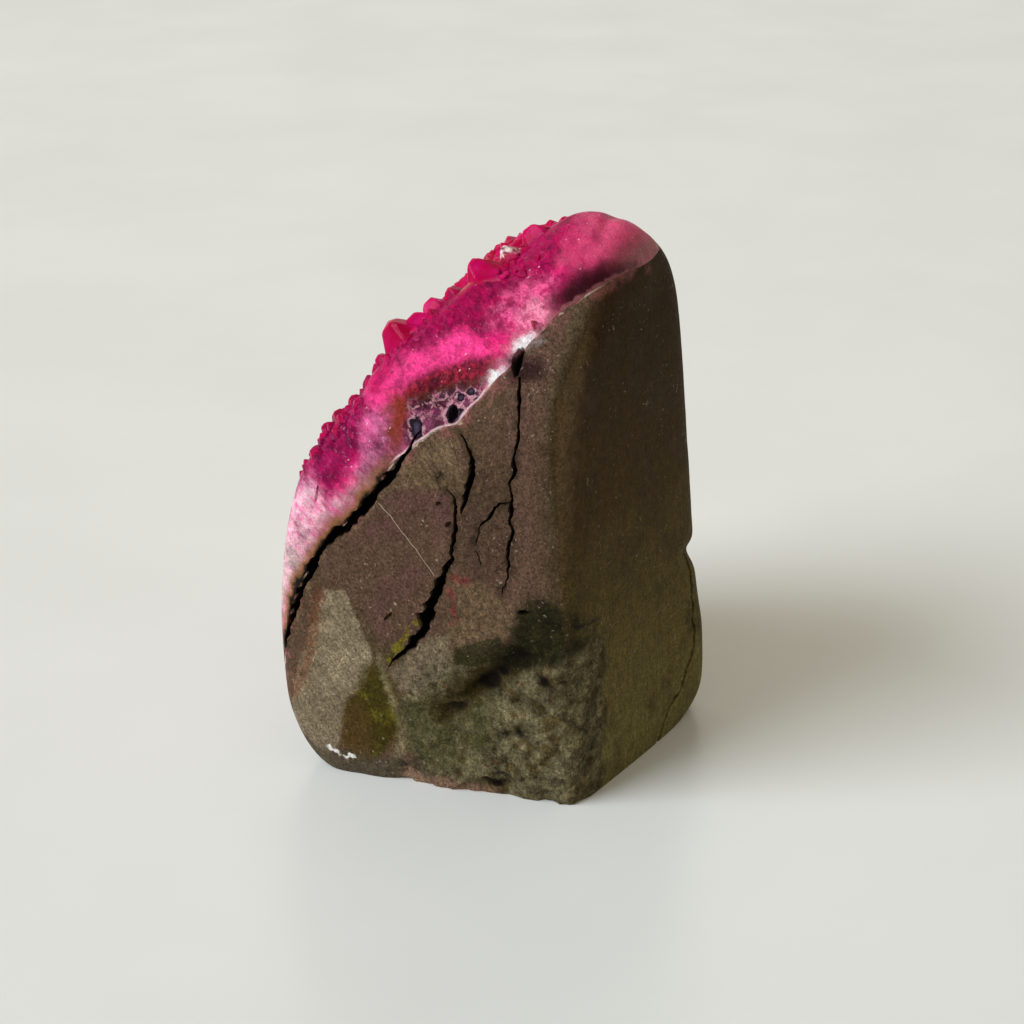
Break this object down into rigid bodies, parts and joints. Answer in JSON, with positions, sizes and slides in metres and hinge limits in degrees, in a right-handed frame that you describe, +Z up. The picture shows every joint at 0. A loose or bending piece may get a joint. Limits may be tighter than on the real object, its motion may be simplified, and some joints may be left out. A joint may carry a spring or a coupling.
{
  "type": "crystal cluster",
  "caption": "Pink quartz crystal cluster on a wedge of basalt: pointed crystals on the sloping front, ground sides, rounded dome and a flat sawn base.",
  "frame": {"origin": "middle of the footprint's bounding box, on the plane of the sawn base", "axes": "+Z up, -Y towards the side that the crystals face, +X the ground side that shows crust and stone in section"},
  "size_m": [0.0681, 0.0645, 0.0981],
  "materials": {
    "stone": "ground, dull, dark olive-brown basalt",
    "crystal": "glossy, cloudy pink quartz, whitish towards the stone"
  },
  "bodies": {
    "root": {"matrix_stone": "stone", "crystal_crust": "crystal"}
  },
  "joints": []
}
